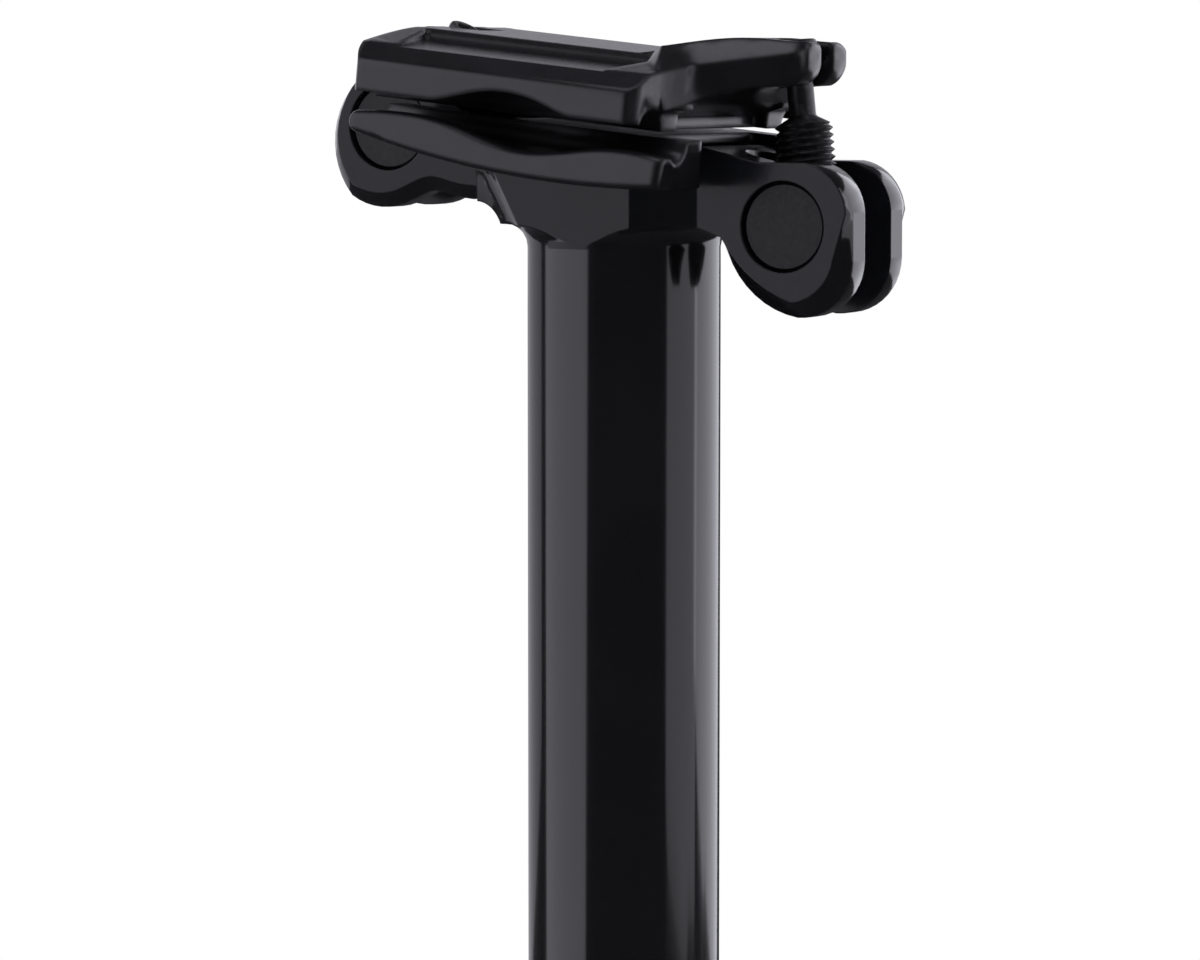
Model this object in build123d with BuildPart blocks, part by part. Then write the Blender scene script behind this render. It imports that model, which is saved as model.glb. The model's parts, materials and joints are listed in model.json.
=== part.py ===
from build123d import *
import math
import os

# A telescoping suspension seatpost. The outer tube goes into the frame's seat tube. The sliding tube and the
# head are one forging, and the head carries a two-bolt clamp for a saddle's rails.
# Millimetres. +Z is up along the post, +X the front of the bicycle, +Y its left. The origin is on the post's
# axis at the bottom end of the outer tube.

os.makedirs("parts", exist_ok=True)

# ---- driving dimensions: outer tube ----
OUTER_R = 15.8
OUTER_BORE_R = 14.4
GUIDE_BORE_R = 14.0
THREAD_BORE_R = 15.0
OUTER_TOP_Z = 262.0
OUTER_NECK_R = 15.4       # the top of the outer tube, inside the collar
COLLAR_R = 17.8
COLLAR_LOW_Z = 252.0
COLLAR_TOP_Z = 272.0
STOP_Z = 110.0            # shoulder that ends the sliding tube's way up
BUSHING_POCKET_Z = 236.0
THREAD_BORE_TOP_Z = 27.0
KEYWAY_R = 15.05
KEY_COUNT = 3
KEY_WIDTH = 3.0

# ---- driving dimensions: sliding tube ----
TUBE_R = 13.6
LEDGE_Z = 385.3           # underside of the head
FLARE_R = 3.2             # the hollow fillet that leads the tube into the head
SPIGOT_R = 12.7
SPIGOT_TOP_Z = 107.2
FOOT_Z = 88.0
LOWER_BORE_R = 11.5
UPPER_BORE_R = 10.5
BORE_STEP_Z = 246.0
BORE_TOP_Z = 374.0
SLIDE_GAP = 0.03          # radial running clearance of the bushings

# ---- driving dimensions: head ----
FRONT_NUT = (29.3, 385.6)  # X, Z of the cross nut in the front ears
REAR_NUT = (-32.8, 398.8)
NUT_R = 6.2
NUT_BORE_R = 6.25
NUT_HALF_LENGTH = 9.1
SLOT_HALF = 4.25          # half the gap between a pair of ears
EAR_EDGE_Y = 8.0          # where an ear's bevel begins
EAR_FACE_Y = 9.75         # the ear's flat face
BLOCK_HALF = 13.6         # the head between the ears, flush with the tube's sides
BLOCK_LEAN = 27.8         # degrees that the hollows behind the block lean back
SHOULDER_Z = 396.3        # flat top of the head in front of the cradle

# ---- driving dimensions: tilting clamp ----
RAIL_TILT = 6.0           # degrees, nose down
RAIL_R = 3.5
RAIL_Y = 22.0
RAIL_MID = (-5.0, 400.2)  # X, Z of the rails' centre line above the seat
TILT_CENTRE = (2.3, 411.3)
SEAT_R = 18.0
SEAT_GAP = 0.2
SPLIT_GAP = 0.4           # half the gap between the clamp's two halves
CRADLE_HALF = 27.0
CLAMP_HALF = 27.3
HEAD_CLEAR_Y = 14.0       # the cradle's arms pass outside the head

# ---- driving dimensions: bolts ----
BOLT_R = 4.0
PITCH = 1.0
THREAD_DEPTH = 0.55
NECK_R = 1.85
BOLT_HEAD_R = 2.85
BOLT_HEAD_H = 2.4
WASHER_R = 2.8
WASHER_HALF = 3.4
TROUGH_R = 3.1
POCKET_HALF = 3.6
FORK_SLOT_HALF = 2.0
FRONT_LEAN = -6.1         # degrees from upright, positive towards the front
REAR_LEAN = 30.0
FRONT_REACH = 23.0        # from the nut's axis to the bolt head's seat
REAR_REACH = 13.4
THREAD_TOP = -9.2         # along the bolt, from the head's seat
CONE_TOP = -8.1
FRONT_TIP = -27.0
REAR_TIP = -20.4

SIN_RAIL = math.sin(math.radians(RAIL_TILT))
COS_RAIL = math.cos(math.radians(RAIL_TILT))

# side view with u along the rails and w square to them, from the middle of the rails
RAIL_SIDE = Plane(
    origin=(RAIL_MID[0], 0, RAIL_MID[1]), x_dir=(COS_RAIL, 0, -SIN_RAIL), z_dir=(0, -1, 0)
)


# square to the rails, from the middle between them
RAIL_SECTION = Plane(
    origin=(RAIL_MID[0], 0, RAIL_MID[1]), x_dir=(0, 1, 0), z_dir=(COS_RAIL, 0, -SIN_RAIL)
)


def to_rail_side(x, z):
    """The (u, w) of a point given by its X and Z."""
    dx = x - RAIL_MID[0]
    dz = z - RAIL_MID[1]
    return (dx * COS_RAIL - dz * SIN_RAIL, dx * SIN_RAIL + dz * COS_RAIL)


def bolt_plane(nut, lean, reach):
    """The plane of a bolt head's seat, with its normal along the bolt and its x along the post's front."""
    a = math.radians(lean)
    axis = Vector(math.sin(a), 0, math.cos(a))
    seat = Vector(nut[0], 0, nut[1]) + axis * reach
    return Plane(origin=seat, x_dir=(math.cos(a), 0, -math.sin(a)), z_dir=axis)


FRONT_BOLT = bolt_plane(FRONT_NUT, FRONT_LEAN, FRONT_REACH)
REAR_BOLT = bolt_plane(REAR_NUT, REAR_LEAN, REAR_REACH)


def save(part, name):
    """Labels one piece and writes its STEP file."""
    part.label = name
    export_step(part, f"parts/{name}.step")


def ring(inner_r, outer_r, low_z, high_z):
    """A plain ring on the post's axis."""
    with BuildPart() as made:
        with BuildSketch(Plane.XY.offset(low_z)):
            Circle(outer_r)
            Circle(inner_r, mode=Mode.SUBTRACT)
        extrude(amount=high_z - low_z)
    return made


def round_ring(middle_r, wire_r, z):
    """A ring of round section on the post's axis."""
    with BuildPart() as made:
        with BuildSketch(Plane.XZ):
            with Locations((middle_r, z)):
                Circle(wire_r)
        revolve(axis=Axis.Z)
    return made


# ---- the head's outlines, in X and Z ----
def front_ear_outline(face):
    """The front ear's side view: its rim, or the flat face inside its bevel."""
    x, z = FRONT_NUT
    top = z + 8.7
    if face:
        front = x + 9.5
        shoulder = (x + 8.0, z + 5.9)
        heel = (front - 1.9, z - 4.3)
        toe = (x + 5.2, z - 8.6)
        bottom = (x + 1.4, z - 10.25)
        rise = (x - 4.2, z - 7.3)
        root = (x - 9.3, z - 1.6)
    else:
        front = x + 9.85
        shoulder = (x + 8.2, z + 6.2)
        heel = (front, z - 4.6)
        toe = (x + 7.2, z - 10.4)
        bottom = (x + 1.6, z - 12.4)
        rise = (x - 4.1, z - 10.1)
        root = (x - 9.6, z - 1.9)
    with BuildLine() as outline:
        Line((8, SHOULDER_Z), (17.2, SHOULDER_Z))
        Line((17.2, SHOULDER_Z), (x - 3.5, top))
        Line((x - 3.5, top), (x + 3.2, top))
        ThreePointArc((x + 3.2, top), shoulder, (front, z + 2.0))
        Line((front, z + 2.0), heel)
        ThreePointArc(heel, toe, bottom)
        ThreePointArc(bottom, rise, root)
        Line(root, (16.3, LEDGE_Z))
        Line((16.3, LEDGE_Z), (8, LEDGE_Z))
        Line((8, LEDGE_Z), (8, SHOULDER_Z))
    return outline.line


def rear_ear_outline(face):
    """The rear ear's side view: its rim, or the flat face inside its bevel."""
    x, z = REAR_NUT
    inset = 2.1 if face else 0.0
    lobe_end = (x - 8.2 + 0.6 * inset, z + 3.6)
    lobe_top = (x + 4.16, z + 7.07)
    lobe_heel = (x - 6.9 + 0.5 * inset, z - 9.9 + 0.8 * inset)
    lobe_toe = (x + 3.0, z - 10.4 + inset)
    waist = (x + 6.4, z - 9.1 + inset)
    shelf = (x + 13.0, z - 10.2 + inset)
    root = (x + 18.6, LEDGE_Z + 0.5 * inset)
    with BuildLine() as outline:
        Line((-8, 399.6), (-18, 399.6))
        Line((-18, 399.6), lobe_top)
        ThreePointArc(lobe_top, (x - 3.4, z + 7.46), lobe_end)
        ThreePointArc(lobe_end, (x - 9.7 + 0.8 * inset, z - 3.5), lobe_heel)
        ThreePointArc(lobe_heel, (x - 1.0, z - 11.5 + inset), lobe_toe)
        Spline(lobe_toe, waist, shelf, tangents=((1, 0.45), (1, -0.08)))
        ThreePointArc(shelf, (x + 16.9, z - 11.2 + 0.8 * inset), root)
        Line(root, (-8, root[1]))
        Line((-8, root[1]), (-8, 399.6))
    return outline.line


# ---- upper post: sliding tube and head, one forging ----
with BuildPart() as upper_post:
    with BuildSketch(Plane.XY.offset(FOOT_Z)):
        Circle(SPIGOT_R)
    extrude(amount=SPIGOT_TOP_Z - FOOT_Z)
    with BuildSketch(Plane.XY.offset(SPIGOT_TOP_Z)):
        Circle(TUBE_R)
    extrude(amount=LEDGE_Z - SPIGOT_TOP_Z)
    # ears: a core of full outline, and a bevelled skin on each side
    for outline in (front_ear_outline, rear_ear_outline):
        with BuildSketch(Plane.XZ):
            add(outline(face=False))
            make_face()
        extrude(amount=EAR_EDGE_Y, both=True)
        for side in (-1, 1):
            with BuildSketch(Plane.XZ.offset(side * EAR_EDGE_Y)):
                add(outline(face=False))
                make_face()
            with BuildSketch(Plane.XZ.offset(side * EAR_FACE_Y)):
                add(outline(face=True))
                make_face()
            loft(ruled=True)
    # the flare and the block between the ears, both trimmed to the head's outline from above
    with BuildPart(mode=Mode.PRIVATE) as block:
        with BuildSketch(Plane.XZ):
            with BuildLine():
                Line((0, LEDGE_Z - FLARE_R), (TUBE_R, LEDGE_Z - FLARE_R))
                hollow = FLARE_R * (1 - math.sqrt(0.5))
                ThreePointArc(
                    (TUBE_R, LEDGE_Z - FLARE_R),
                    (TUBE_R + hollow, LEDGE_Z - hollow),
                    (TUBE_R + FLARE_R, LEDGE_Z),
                )
                Line((TUBE_R + FLARE_R, LEDGE_Z), (0, LEDGE_Z))
                Line((0, LEDGE_Z), (0, LEDGE_Z - FLARE_R))
            make_face()
        revolve(axis=Axis.Z)
        with BuildSketch(Plane.XZ):
            with BuildLine():
                Line((-18.2, 399.6), (-18.2, 388.4))
                ThreePointArc((-18.2, 388.4), (-15.9, 387.6), (-14.2, LEDGE_Z))
                Line((-14.2, LEDGE_Z), (16.3, LEDGE_Z))
                Line((16.3, LEDGE_Z), (16.3, SHOULDER_Z))
                Line((16.3, SHOULDER_Z), (7.5, SHOULDER_Z))
                Line((7.5, SHOULDER_Z), (7.5, 399.6))
                Line((7.5, 399.6), (-18.2, 399.6))
            make_face()
        extrude(amount=BLOCK_HALF, both=True)
        with BuildSketch(Plane.XY.offset(LEDGE_Z - 5)):
            with BuildLine():
                Line((-18.2, 0), (-18.2, BLOCK_HALF))
                Line((-18.2, BLOCK_HALF), (7.9, BLOCK_HALF))
                Line((7.9, BLOCK_HALF), (16.3, EAR_FACE_Y))
                Line((16.3, EAR_FACE_Y), (16.3, 0))
                Line((16.3, 0), (-18.2, 0))
            make_face()
            mirror(about=Plane.XZ)
        extrude(amount=25, mode=Mode.INTERSECT)
        # leaning hollows that step in to the rear ears' faces
        lean = math.radians(BLOCK_LEAN)
        with BuildSketch(Plane.XY.offset(LEDGE_Z - 4)) as hollows:
            with BuildLine():
                Line((-7.4, BLOCK_HALF), (-7.4, 20))
                Line((-7.4, 20), (-40, 20))
                Line((-40, 20), (-40, EAR_FACE_Y))
                Line((-40, EAR_FACE_Y), (-15.0, EAR_FACE_Y))
                ThreePointArc((-15.0, EAR_FACE_Y), (-10.6, 10.9), (-7.4, BLOCK_HALF))
            make_face()
            mirror(about=Plane.XZ)
        extrude(hollows.sketch, amount=30, dir=(-math.sin(lean), 0, math.cos(lean)), mode=Mode.SUBTRACT)
    add(block.part)
    # gaps between the ears, open above and below
    for tip_x, root_x in ((45, 19.5), (-48, -20.0)):
        centre_x = root_x + math.copysign(SLOT_HALF, tip_x)
        with BuildSketch(Plane.XY.offset(360)):
            with Locations((centre_x, 0)):
                Circle(SLOT_HALF)
            with Locations(((centre_x + tip_x) / 2, 0)):
                Rectangle(abs(tip_x - centre_x), 2 * SLOT_HALF)
        extrude(amount=60, mode=Mode.SUBTRACT)
    # round bores for the cross nuts
    with BuildSketch(Plane.XZ):
        with Locations(FRONT_NUT, REAR_NUT):
            Circle(NUT_BORE_R)
    extrude(amount=20, both=True, mode=Mode.SUBTRACT)
    # round seat on which the cradle tilts
    with BuildSketch(Plane.XZ):
        with Locations(TILT_CENTRE):
            Circle(SEAT_R + SEAT_GAP)
    extrude(amount=20, both=True, mode=Mode.SUBTRACT)
    # bore from below
    with BuildSketch(Plane.XY.offset(FOOT_Z)):
        Circle(LOWER_BORE_R)
    extrude(amount=BORE_STEP_Z - FOOT_Z, mode=Mode.SUBTRACT)
    with BuildSketch(Plane.XY.offset(BORE_STEP_Z)):
        Circle(UPPER_BORE_R)
    extrude(amount=BORE_TOP_Z - BORE_STEP_Z, mode=Mode.SUBTRACT)
save(upper_post.part, "upper_post")

# ---- lower cradle: the belly that tilts on the head, and two grooved arms ----
BELLY_REAR_X = -8.0
BELLY_FRONT_X = 13.0
ARM_REAR_U = -23.2
ARM_FRONT_U = 25.2
LIP_ROUND = 1.0


def cradle_bottom():
    """The long bow of the cradle's lower edge."""
    return ThreePointArc((ARM_FRONT_U - 0.5, -6.8), (4.0, -7.6), (ARM_REAR_U, -4.2))


with BuildPart() as lower_cradle:
    # arms inside the grooves, flat on top
    with BuildSketch(RAIL_SIDE):
        with BuildLine():
            cradle_bottom()
            Line((ARM_REAR_U, -4.2), (ARM_REAR_U + 0.8, -SPLIT_GAP))
            Line((ARM_REAR_U + 0.8, -SPLIT_GAP), (ARM_FRONT_U - 0.8, -SPLIT_GAP))
            Line((ARM_FRONT_U - 0.8, -SPLIT_GAP), (ARM_FRONT_U - 0.5, -6.8))
        make_face()
    extrude(amount=RAIL_Y, both=True)
    # outer lips with a waved upper edge
    for side in (-1, 1):
        with BuildSketch(RAIL_SIDE.offset(side * RAIL_Y)):
            with BuildLine():
                cradle_bottom()
                ThreePointArc((ARM_REAR_U, -4.2), (ARM_REAR_U - 0.8, -2.7), (ARM_REAR_U + 0.3, -1.3))
                Spline(
                    (ARM_REAR_U + 0.3, -1.3), (-15.6, -0.8), (-9.2, -1.3), (-3.0, -2.9), (3.3, -3.95),
                    (9.5, -3.4), (15.6, -2.3), (19.3, -2.1), (ARM_FRONT_U, -2.7),
                )
                Line((ARM_FRONT_U, -2.7), (ARM_FRONT_U - 0.5, -6.8))
            make_face()
        extrude(amount=side * (CRADLE_HALF - RAIL_Y))
    for face in (lower_cradle.faces().sort_by(Axis.Y)[0], lower_cradle.faces().sort_by(Axis.Y)[-1]):
        fillet(face.edges(), LIP_ROUND)
    # the room for the head between the arms
    with BuildSketch(Plane.XZ):
        with Locations((-3, 400)):
            Rectangle(80, 60)
    extrude(amount=HEAD_CLEAR_Y, both=True, mode=Mode.SUBTRACT)
    # the belly
    with BuildSketch(Plane.XZ):
        with BuildLine():
            rear_drop = math.sqrt(SEAT_R**2 - (BELLY_REAR_X - TILT_CENTRE[0]) ** 2)
            front_drop = math.sqrt(SEAT_R**2 - (BELLY_FRONT_X - TILT_CENTRE[0]) ** 2)
            rear_low = (BELLY_REAR_X, TILT_CENTRE[1] - rear_drop)
            front_low = (BELLY_FRONT_X, TILT_CENTRE[1] - front_drop)
            rear_high = RAIL_MID[1] - SPLIT_GAP - (BELLY_REAR_X - RAIL_MID[0]) * SIN_RAIL
            front_high = RAIL_MID[1] - SPLIT_GAP - (BELLY_FRONT_X - RAIL_MID[0]) * SIN_RAIL
            ThreePointArc(rear_low, (TILT_CENTRE[0], TILT_CENTRE[1] - SEAT_R), front_low)
            Line(front_low, (BELLY_FRONT_X, front_high))
            Line((BELLY_FRONT_X, front_high), (BELLY_REAR_X, rear_high))
            Line((BELLY_REAR_X, rear_high), rear_low)
        make_face()
    extrude(amount=HEAD_CLEAR_Y + 0.1, both=True)
    # rail grooves
    with BuildSketch(RAIL_SECTION):
        with Locations((-RAIL_Y, 0), (RAIL_Y, 0)):
            Circle(RAIL_R)
    extrude(amount=40, both=True, mode=Mode.SUBTRACT)
save(lower_cradle.part, "lower_cradle")

# ---- upper clamp: two wings, a forked tongue in front and a fork behind ----
WING_REAR_U = -24.6
WING_FRONT_U = 20.4
ROOT_FRONT_U = 22.6       # where the wings' hollow front corners run into the tongue
LIP_W = 1.45
FACE_TOP = (CLAMP_HALF, 5.75)  # y, w of the outer face's top edge, and the rounding along it
FACE_TOP_ROUND = 1.2
BROW = (23.2, 8.15)       # the top edge of the bevel over that face
BROW_ROUND = 2.0
PLATEAU = (12.5, 10.33)   # the edge of the flat top
PLATEAU_ROUND = 2.5
POCKET_RIM = (25.2, 7.73)
POCKET_FLOOR = (13.6, 8.76)
TONGUE_RISE = 8.5         # degrees that the tongue's bevel rises towards the front
TONGUE_BEVEL_H = 4.4
TONGUE_TIP_X = 31.4
SECTION = Plane(
    origin=RAIL_SIDE.from_local_coords((WING_REAR_U, 0, 0)), x_dir=(0, 1, 0), z_dir=(COS_RAIL, 0, -SIN_RAIL)
)
RAIL_PLAN = Plane(
    origin=(RAIL_MID[0], 0, RAIL_MID[1]), x_dir=(COS_RAIL, 0, -SIN_RAIL), z_dir=(SIN_RAIL, 0, COS_RAIL)
)
TONGUE_PLAN = Plane(origin=(17.0, 0, 407.2), x_dir=(1, 0, 0), z_dir=(0, 0, 1)).rotated((0, -TONGUE_RISE, 0))


def tongue_outline(back, corner, side, tip_x):
    """Half of the tongue from above: its back edge, outer corner, curved side and tip."""
    with BuildLine() as half:
        Line((back[0], 0), back)
        Line(back, corner)
        Spline(corner, *side)
        Line(side[-1], (tip_x, side[-1][1]))
        Line((tip_x, side[-1][1]), (tip_x, 0))
        Line((tip_x, 0), (back[0], 0))
    return half.line


with BuildPart() as upper_clamp:
    # the wings' section, drawn along the rails
    with BuildSketch(SECTION) as wing_section:
        with BuildLine():
            Line((0, SPLIT_GAP), (RAIL_Y, SPLIT_GAP))
            Line((RAIL_Y, SPLIT_GAP), (RAIL_Y, LIP_W))
            Line((RAIL_Y, LIP_W), (CLAMP_HALF, LIP_W))
            Line((CLAMP_HALF, LIP_W), FACE_TOP)
            Line(FACE_TOP, BROW)
            Line(BROW, PLATEAU)
            Line(PLATEAU, (0, PLATEAU[1]))
            Line((0, PLATEAU[1]), (0, SPLIT_GAP))
        make_face()
        mirror(about=Plane.YZ)
        for corner, radius in ((FACE_TOP, FACE_TOP_ROUND), (BROW, BROW_ROUND), (PLATEAU, PLATEAU_ROUND)):
            upper = wing_section.vertices().filter_by(lambda v: v.Y > LIP_W + 1)
            fillet(upper.filter_by(lambda v: abs(abs(v.X) - corner[0]) < 0.01), radius)
    extrude(amount=ROOT_FRONT_U - WING_REAR_U)
    # corners in plan: rounded behind, chamfered in front and hollow towards the tongue
    with BuildSketch(RAIL_PLAN):
        with BuildLine():
            Line((WING_REAR_U, 0), (WING_REAR_U, CLAMP_HALF - 5.6))
            ThreePointArc(
                (WING_REAR_U, CLAMP_HALF - 5.6),
                (WING_REAR_U + 0.45, CLAMP_HALF - 2.3),
                (WING_REAR_U + 2.0, CLAMP_HALF),
            )
            Line((WING_REAR_U + 2.0, CLAMP_HALF), (WING_FRONT_U - 1.3, CLAMP_HALF))
            Line((WING_FRONT_U - 1.3, CLAMP_HALF), (WING_FRONT_U, CLAMP_HALF - 1.6))
            ThreePointArc(
                (WING_FRONT_U, CLAMP_HALF - 1.6),
                (WING_FRONT_U + 0.3, 21.8),
                (WING_FRONT_U + 1.2, 18.4),
            )
            Line((WING_FRONT_U + 1.2, 18.4), (ROOT_FRONT_U, 16.6))
            Line((ROOT_FRONT_U, 16.6), (ROOT_FRONT_U, 0))
            Line((ROOT_FRONT_U, 0), (WING_REAR_U, 0))
        make_face()
        mirror(about=Plane.XZ)
    extrude(amount=20, both=True, mode=Mode.INTERSECT)
    # the rear edge rounded, and the hollow corners cut short below, seen from the side
    with BuildSketch(RAIL_SIDE):
        with BuildLine():
            Line((WING_REAR_U, -2), (WING_REAR_U, PLATEAU[1] - 3.4))
            ThreePointArc(
                (WING_REAR_U, PLATEAU[1] - 3.4), (WING_REAR_U + 0.75, PLATEAU[1] - 0.8),
                (WING_REAR_U + 3.2, PLATEAU[1])
            )
            Line((WING_REAR_U + 3.2, PLATEAU[1]), (ROOT_FRONT_U, PLATEAU[1]))
            Line((ROOT_FRONT_U, PLATEAU[1]), (ROOT_FRONT_U, 3.6))
            Line((ROOT_FRONT_U, 3.6), (WING_FRONT_U, 2.8))
            Line((WING_FRONT_U, 2.8), (WING_FRONT_U, -2))
            Line((WING_FRONT_U, -2), (WING_REAR_U, -2))
        make_face()
    extrude(amount=40, both=True, mode=Mode.INTERSECT)
    # the boss behind, for the rear bolt's fork
    with BuildSketch(RAIL_SIDE):
        with BuildLine():
            Line((-18, PLATEAU[1]), (-22.8, PLATEAU[1]))
            ThreePointArc((-22.8, PLATEAU[1]), (-25.9, PLATEAU[1] - 1.3), (-26.9, PLATEAU[1] - 4.0))
            Line((-26.9, PLATEAU[1] - 4.0), (-25.6, 3.6))
            Line((-25.6, 3.6), (-18, 2.0))
            Line((-18, 2.0), (-18, PLATEAU[1]))
        make_face()
    extrude(amount=7.6, both=True)
    # front tongue: a broad bevel over its sides, cut to its side view
    lower = tongue_outline(
        (-11.0, 13.5), (-1.2, 20.6),
        [(-0.4, 18.3), (1.2, 15.4), (5.0, 12.0), (8.1, 9.2), (11.1, 6.9), (13.3, 6.1)], 16.6
    )
    upper = tongue_outline(
        (-11.0, 8.4), (-2.8, 14.3),
        [(-2.5, 13.7), (-1.84, 12.8), (2.33, 9.0), (5.5, 6.1), (9.05, 3.5), (12.5, 2.15)], 16.6
    )
    with BuildPart(mode=Mode.PRIVATE) as tongue:
        with BuildSketch(TONGUE_PLAN) as tongue_foot:
            add(lower)
            make_face()
            mirror(about=Plane.XZ)
        with BuildSketch(TONGUE_PLAN.offset(TONGUE_BEVEL_H)):
            add(upper)
            make_face()
            mirror(about=Plane.XZ)
        loft(ruled=True)
        extrude(tongue_foot.sketch, amount=-16)
        with BuildSketch(Plane.XZ):
            with BuildLine():
                Line((5, 401.2), (13.4, 400.2))
                Spline(
                    (13.4, 400.2), (18.0, 402.1), (21.2, 403.7), (28.6, 404.6),
                    tangents=((1, 0.15), (1, 0.05)),
                )
                ThreePointArc((28.6, 404.6), (30.7, 405.9), (TONGUE_TIP_X, 408.2))
                Line((TONGUE_TIP_X, 408.2), (TONGUE_TIP_X, 409.4))
                ThreePointArc(
                    (TONGUE_TIP_X, 409.4), (TONGUE_TIP_X - 0.35, 410.3), (TONGUE_TIP_X - 1.3, 410.6)
                )
                Spline(
                    (TONGUE_TIP_X - 1.3, 410.6), (22.0, 411.2), (15.0, 410.3), (6.0, 409.3),
                    tangents=((-1, 0.03), (-1, 0.1)),
                )
                Line((6.0, 409.3), (5.0, 409.35))
                Line((5.0, 409.35), (5.0, 401.2))
            make_face()
        extrude(amount=40, both=True, mode=Mode.INTERSECT)
    add(tongue.part)
    # milled pocket along each flank: a shallow floor, a steep inner wall and a rounded front end
    for side in (-1, 1):
        with BuildPart(mode=Mode.PRIVATE) as pocket:
            with BuildSketch(SECTION):
                with BuildLine():
                    Polyline(
                        (side * POCKET_RIM[0], POCKET_RIM[1]), (side * POCKET_FLOOR[0], POCKET_FLOOR[1]),
                        (side * 13.2, 8.95), (side * 12.75, 9.8), (side * 12.3, 10.2), (side * 11.6, 10.36),
                        (side * 11.6, 14.0), (side * POCKET_RIM[0], 14.0), close=True,
                    )
                make_face()
            extrude(amount=ROOT_FRONT_U - WING_REAR_U)
            with BuildSketch(RAIL_PLAN):
                with BuildLine():
                    Line((-18.9, side * 25.2), (-20.2, side * 14.0))
                    Line((-20.2, side * 14.0), (-21.6, side * 11.6))
                    Line((-21.6, side * 11.6), (13.0, side * 11.6))
                    Line((13.0, side * 11.6), (17.2, side * 13.0))
                    Spline(
                        (17.2, side * 13.0), (16.8, side * 15.0), (15.6, side * 18.2), (14.4, side * 20.9),
                        (13.6, side * 23.2), (13.0, side * 25.2),
                    )
                    Line((13.0, side * 25.2), (-18.9, side * 25.2))
                make_face()
            extrude(amount=20, both=True, mode=Mode.INTERSECT)
        add(pocket.part, mode=Mode.SUBTRACT)
    # room above the rear ears
    with BuildSketch(Plane.XZ):
        with BuildLine():
            Polyline((-36, 390), (-36, 407.6), (-29.0, 407.0), (-20.2, 402.0), (-18.0, 390), close=True)
        make_face()
    extrude(amount=EAR_FACE_Y + 0.6, both=True, mode=Mode.SUBTRACT)
    # room above the head in front of the belly
    with BuildSketch(Plane.XZ):
        with BuildLine():
            Polyline((13.4, 392), (13.4, 400.2), (18.0, 402.1), (24.0, 392), close=True)
        make_face()
    extrude(amount=HEAD_CLEAR_Y, both=True, mode=Mode.SUBTRACT)
    # waved lower edge of the outer lips
    for side in (-1, 1):
        with BuildSketch(RAIL_SIDE.offset(side * RAIL_Y)):
            with BuildLine():
                Spline(
                    (-12.5, LIP_W - 0.1), (-6.5, LIP_W + 1.1), (-2.0, 3.6),
                    (6.5, LIP_W + 1.3), (12.5, LIP_W - 0.1),
                    tangents=((1, 0), (1, 0)),
                )
                Line((12.5, LIP_W - 0.1), (-12.5, LIP_W - 0.1))
            make_face()
        extrude(amount=side * 8, mode=Mode.SUBTRACT)
    # rail grooves
    with BuildSketch(SECTION):
        with Locations((-RAIL_Y, 0), (RAIL_Y, 0)):
            Circle(RAIL_R)
    extrude(amount=80, both=True, mode=Mode.SUBTRACT)
    # for each bolt: a round trough for its washer, a pocket for its head and a slot for its neck
    for seat, inward in ((FRONT_BOLT, -1), (REAR_BOLT, 1)):
        u, w = to_rail_side(seat.origin.X, seat.origin.Z)
        with BuildSketch(RAIL_SIDE):
            with Locations((u, w)):
                Circle(TROUGH_R)
            with Locations((u + inward * 0.6, w + 10)):
                Rectangle(2 * TROUGH_R + 1.8, 20)
        extrude(amount=POCKET_HALF, both=True, mode=Mode.SUBTRACT)
        with BuildSketch(RAIL_SIDE):
            with Locations((u + inward * (3.3 - 10), w)):
                Rectangle(20, 30)
        extrude(amount=FORK_SLOT_HALF, both=True, mode=Mode.SUBTRACT)
save(upper_clamp.part, "upper_clamp")


# ---- cross nuts, bolts and their half-moon washers ----
def make_nut(at, bolt, name):
    """A round nut lying across the ears, drilled square for the bolt."""
    with BuildPart() as nut:
        with BuildSketch(Plane.XZ):
            with Locations(at):
                Circle(NUT_R)
        extrude(amount=NUT_HALF_LENGTH, both=True)
        chamfer(nut.edges().filter_by(GeomType.CIRCLE), 0.5)
        with BuildSketch(bolt):
            Circle(BOLT_R + 0.06)
        extrude(amount=80, both=True, mode=Mode.SUBTRACT)
    save(nut.part, name)


def make_bolt(seat, tip, name):
    """A waisted bolt with ring grooves for its thread and a hex socket in its head."""
    turns = round((THREAD_TOP - tip) / PITCH) - 1
    root_r = BOLT_R - THREAD_DEPTH
    side = [(0, tip), (root_r, tip), (BOLT_R, tip + 0.6)]
    for turn in range(turns):
        low = tip + 0.6 + turn * PITCH
        side += [(BOLT_R, low + 0.15), (root_r, low + 0.5 * PITCH), (BOLT_R, low + PITCH - 0.15)]
    side += [(BOLT_R, THREAD_TOP), (NECK_R, CONE_TOP), (NECK_R, 0), (BOLT_HEAD_R, 0)]
    side += [(BOLT_HEAD_R, BOLT_HEAD_H - 0.3), (BOLT_HEAD_R - 0.3, BOLT_HEAD_H), (0, BOLT_HEAD_H)]
    with BuildPart() as bolt:
        with BuildSketch(Plane(origin=seat.origin, x_dir=seat.x_dir, z_dir=(0, -1, 0))):
            with BuildLine():
                Polyline(*side, close=True)
            make_face()
        revolve(axis=Axis(seat.origin, seat.z_dir))
        with BuildSketch(seat.offset(BOLT_HEAD_H)):
            RegularPolygon(radius=1.75, side_count=6, major_radius=False)
        extrude(amount=-2.0, mode=Mode.SUBTRACT)
    save(bolt.part, name)


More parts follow.
